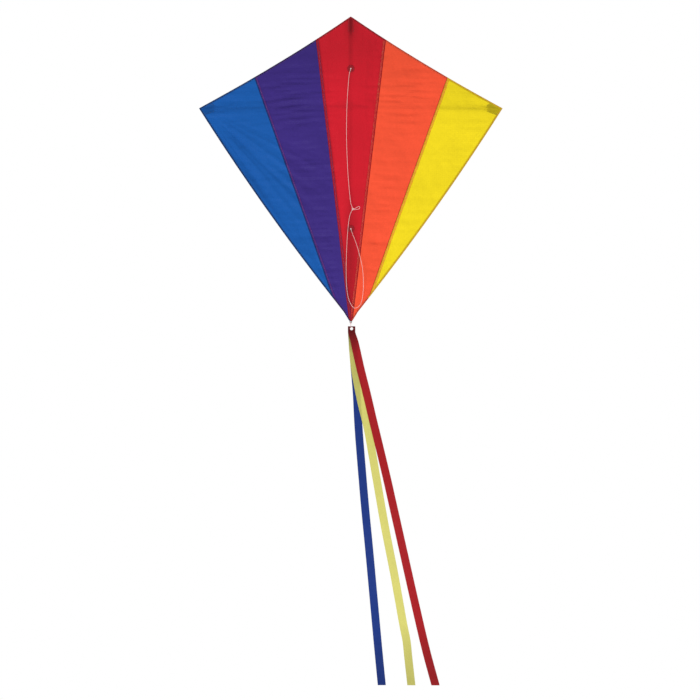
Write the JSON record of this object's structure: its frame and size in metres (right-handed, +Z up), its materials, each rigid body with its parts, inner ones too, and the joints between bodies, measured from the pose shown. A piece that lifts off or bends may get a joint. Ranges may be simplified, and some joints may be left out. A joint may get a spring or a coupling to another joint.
{
  "type": "diamond kite",
  "caption": "Flat diamond kite with a panelled cloth sail on a crossed rod frame, a two-leg bridle and a tail of ribbon streamers hung from its lower tip.",
  "frame": {"origin": "middle of the centre fitting's flat back face, level with the cross spar", "axes": "+Z up the spine towards the nose, +X to the right seen from the front, -Y out of the sail's front, +Y out of the fitting's back"},
  "size_m": [0.7612, 0.0661, 1.661],
  "materials": {
    "red_ripstop": "satin",
    "purple_ripstop": "satin",
    "blue_ripstop": "satin",
    "orange_ripstop": "satin",
    "yellow_ripstop": "satin",
    "pocket_fabric": "matte",
    "patch_fabric": "matte",
    "rod": "satin",
    "vinyl": "matte",
    "moulding": "matte",
    "line": "matte",
    "streamer_red_film": "satin",
    "streamer_yellow_film": "satin",
    "streamer_blue_film": "satin"
  },
  "bodies": {
    "frame": {"spine_rod": "rod", "spine_nose_cap": "vinyl", "spine_tail_cap": "moulding", "centre_fitting": "moulding", "sail_red_panel_centre": "red_ripstop", "nose_pocket": "pocket_fabric", "tail_pocket": "pocket_fabric", "bridle_patch_upper": "patch_fabric", "bridle_patch_lower": "patch_fabric", "bridle_knot_upper": "line", "bridle_knot_lower": "line", "bridle_hitch_upper": "line", "bridle_hitch_lower": "line", "bridle_line_upper": "line", "bridle_line_lower": "line", "tow_knot": "line", "tow_loop": "line"},
    "left_wing": {"sail_red_panel_left": "red_ripstop", "sail_purple_panel": "purple_ripstop", "sail_blue_panel": "blue_ripstop", "wing_tip_pocket_left": "pocket_fabric", "cross_spar_left": "rod", "spar_sleeve_left": "vinyl", "spar_cap_left": "vinyl"},
    "right_wing": {"sail_red_panel_right": "red_ripstop", "sail_orange_panel": "orange_ripstop", "sail_yellow_panel": "yellow_ripstop", "wing_tip_pocket_right": "pocket_fabric", "cross_spar_right": "rod", "spar_sleeve_right": "vinyl", "spar_cap_right": "vinyl"},
    "tail_loop": {"tail_loop": "line"},
    "streamer_red": {"streamer_red": "streamer_red_film"},
    "streamer_yellow": {"streamer_yellow": "streamer_yellow_film"},
    "streamer_blue": {"streamer_blue": "streamer_blue_film"}
  },
  "joints": [
    {"name": "left_wing_fold", "type": "hinge", "parent": "frame", "child": "left_wing", "pos_m": [-0.009, -0.006, 0], "axis": [0, 0, 1], "range_deg": [-75, 0]},
    {"name": "right_wing_fold", "type": "hinge", "parent": "frame", "child": "right_wing", "pos_m": [0.009, -0.006, 0], "axis": [0, 0, 1], "range_deg": [0, 75]},
    {"name": "tail_loop_swing", "type": "hinge", "parent": "frame", "child": "tail_loop", "pos_m": [0, -0.006, -0.537], "axis": [1, 0, 0], "range_deg": [-40, 40]},
    {"name": "streamer_red_sway", "type": "hinge", "parent": "tail_loop", "child": "streamer_red", "pos_m": [0.002, -0.0071, -0.554], "axis": [0, 1, 0], "range_deg": [-35, 55]},
    {"name": "streamer_yellow_sway", "type": "hinge", "parent": "tail_loop", "child": "streamer_yellow", "pos_m": [0.002, -0.006, -0.554], "axis": [0, 1, 0], "range_deg": [-40, 50]},
    {"name": "streamer_blue_sway", "type": "hinge", "parent": "tail_loop", "child": "streamer_blue", "pos_m": [0.002, -0.0049, -0.554], "axis": [0, 1, 0], "range_deg": [-45, 45]}
  ]
}
